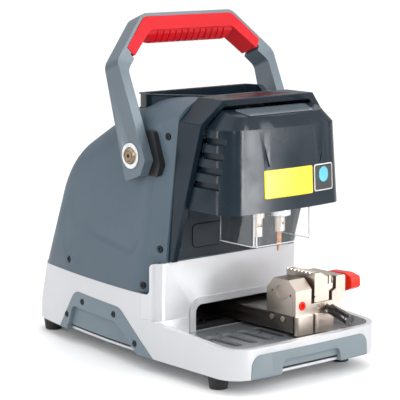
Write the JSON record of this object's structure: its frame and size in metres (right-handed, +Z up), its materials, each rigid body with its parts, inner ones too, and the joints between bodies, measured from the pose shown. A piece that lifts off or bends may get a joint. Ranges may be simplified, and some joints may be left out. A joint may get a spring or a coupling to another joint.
{
  "type": "key duplicating machine",
  "caption": "Bench key cutting machine: white base and apron, slate housing, dark cutting head over a sliding clamp table, folding red-grip handle.",
  "frame": {"origin": "on the surface the machine stands on, under the middle of the base", "axes": "+Z up, -Y to the front (clamp side), +X to the right seen from the front"},
  "size_m": [0.2408, 0.4165, 0.3974],
  "materials": {
    "white_shell": "silver-white satin moulding",
    "tray_grey": "grey satin paint on pressed steel",
    "slate_panel": "slate grey fine-grained moulding",
    "trim_grey": "mid grey-blue satin moulding",
    "trim_pale": "pale grey-blue satin moulding",
    "gloss_dark": "very dark blue-grey gloss moulding",
    "smoked": "smoked window",
    "red_window": "deep red glossy inlay",
    "clear": "clear guard",
    "handle_grey": "satin grey-blue die casting",
    "grip_red": "red soft grip",
    "pivot_brass": "brass-coloured bolt",
    "steel": "ground steel",
    "screw_black": "black oxide screws",
    "nickel": "warm nickel plate",
    "table_dark": "dark anodised table",
    "chassis": "plain aluminium",
    "motor_black": "black motor case",
    "knob_red": "orange-red faceted knob",
    "lever_black": "black gloss lever",
    "foot_rubber": "black rubber",
    "copper": "coated carbide",
    "board_green": "circuit board",
    "fitting_black": "black fittings",
    "zinc": "zinc-plated steel"
  },
  "bodies": {
    "machine": {"base_shell": "white_shell", "base_plate": "zinc", "front_trim": "trim_pale", "side_trim_left": "trim_grey", "side_trim_right": "trim_grey", "feet": "foot_rubber", "foot_screws": "zinc", "chip_tray": "tray_grey", "side_panel_left": "slate_panel", "side_panel_right": "slate_panel", "rear_cover": "slate_panel", "top_cover": "gloss_dark", "case_screws": "screw_black", "hood_frame": "gloss_dark", "hood_window": "red_window", "recess_panel": "gloss_dark", "recess_hatch": "gloss_dark", "head_cover": "gloss_dark", "head_base": "gloss_dark", "head_window": "smoked", "visor": "clear", "pivot_bolts": "pivot_brass", "pivot_washers": "zinc", "column_frame": "chassis", "z_rails": "steel", "z_motor": "motor_black", "stage_frame": "motor_black", "y_rails": "steel", "y_motor": "motor_black", "power_supply": "zinc", "control_board": "board_green", "power_inlet": "fitting_black", "rocker_switch": "fitting_black", "fan_frame": "fitting_black", "pivot_pads": "fitting_black"},
    "saddle": {"y_saddle": "motor_black", "x_rails": "steel", "x_motor": "motor_black"},
    "table_screw": {"x_lead_screw": "steel"},
    "saddle_screw": {"y_lead_screw": "steel"},
    "column_screw": {"z_lead_screw": "steel"},
    "table": {"x_table": "table_dark", "clamp_base": "nickel", "clamp_body": "nickel", "clamp_pin": "knob_red"},
    "jaw": {"clamp_jaw": "nickel"},
    "jaw_screw": {"clamp_screw": "steel", "clamp_knob": "knob_red"},
    "lever": {"clamp_lever": "lever_black"},
    "spindle": {"z_carriage": "chassis", "spindle_housing": "chassis", "spindle_motor": "motor_black", "probe_holder": "nickel"},
    "arbor": {"spindle_shaft": "nickel", "cutter": "copper"},
    "probe": {"probe_tip": "steel"},
    "handle": {"handle_frame": "handle_grey", "handle_grip": "grip_red"},
    "rocker": {"rocker_button": "fitting_black"},
    "rotor": {"fan_rotor": "fitting_black"}
  },
  "joints": [
    {"name": "handle_swing", "type": "hinge", "parent": "machine", "child": "handle", "pos_m": [0, -0.0363, 0.2437], "axis": [1, 0, 0], "range_deg": [-58, 72]},
    {"name": "y_feed", "type": "slide", "parent": "machine", "child": "saddle", "axis": [0, 1, 0], "range_m": [-0.025, 0.03]},
    {"name": "x_feed", "type": "slide", "parent": "saddle", "child": "table", "axis": [1, 0, 0], "range_m": [-0.06, 0.005]},
    {"name": "z_feed", "type": "slide", "parent": "machine", "child": "spindle", "axis": [0, 0, 1], "range_m": [-0.024, 0.006]},
    {"name": "y_screw_turn", "type": "hinge", "parent": "machine", "child": "saddle_screw", "pos_m": [0, 0.05, 0.034], "axis": [0, 1, 0], "range_deg": [-1130, 1355]},
    {"name": "x_screw_turn", "type": "hinge", "parent": "saddle", "child": "table_screw", "pos_m": [0.012, 0.0475, 0.055], "axis": [1, 0, 0], "range_deg": [-2705, 230]},
    {"name": "z_screw_turn", "type": "hinge", "parent": "machine", "child": "column_screw", "pos_m": [0, -0.084, 0.228], "axis": [0, 0, 1], "range_deg": [-1085, 275]},
    {"name": "spindle_spin", "type": "hinge", "parent": "spindle", "child": "arbor", "pos_m": [0.0156, -0.1345, 0.2], "axis": [0, 0, 1], "continuous": true},
    {"name": "probe_slide", "type": "slide", "parent": "spindle", "child": "probe", "axis": [0, 0, 1], "range_m": [0, 0.003], "stiffness_N_per_m": 200, "springref_m": -0.001},
    {"name": "clamp_turn", "type": "hinge", "parent": "table", "child": "jaw_screw", "pos_m": [0.09, -0.146, 0.091], "axis": [1, 0, 0], "range_deg": [-818, 638]},
    {"name": "jaw_slide", "type": "slide", "parent": "table", "child": "jaw", "axis": [1, 0, 0], "range_m": [-0.0045, 0.0035]},
    {"name": "lever_turn", "type": "hinge", "parent": "table", "child": "lever", "pos_m": [0.0585, -0.1768, 0.0689], "axis": [0, -0.9659, -0.2588], "range_deg": [0, 120]},
    {"name": "rocker_tilt", "type": "hinge", "parent": "machine", "child": "rocker", "pos_m": [0.0035, 0.19607, 0.05764], "axis": [1, 0, 0], "range_deg": [0, 14]},
    {"name": "fan_spin", "type": "hinge", "parent": "machine", "child": "rotor", "pos_m": [0, 0.15791, 0.13762], "axis": [0, 0.9312, 0.3646], "continuous": true}
  ],
  "couplings": [
    {"joint": "y_screw_turn", "follows": "y_feed", "rad_per_m": 785.4},
    {"joint": "x_screw_turn", "follows": "x_feed", "rad_per_m": 785.4},
    {"joint": "z_screw_turn", "follows": "z_feed", "rad_per_m": 785.4},
    {"joint": "clamp_turn", "follows": "jaw_slide", "rad_per_m": 3141.6}
  ]
}
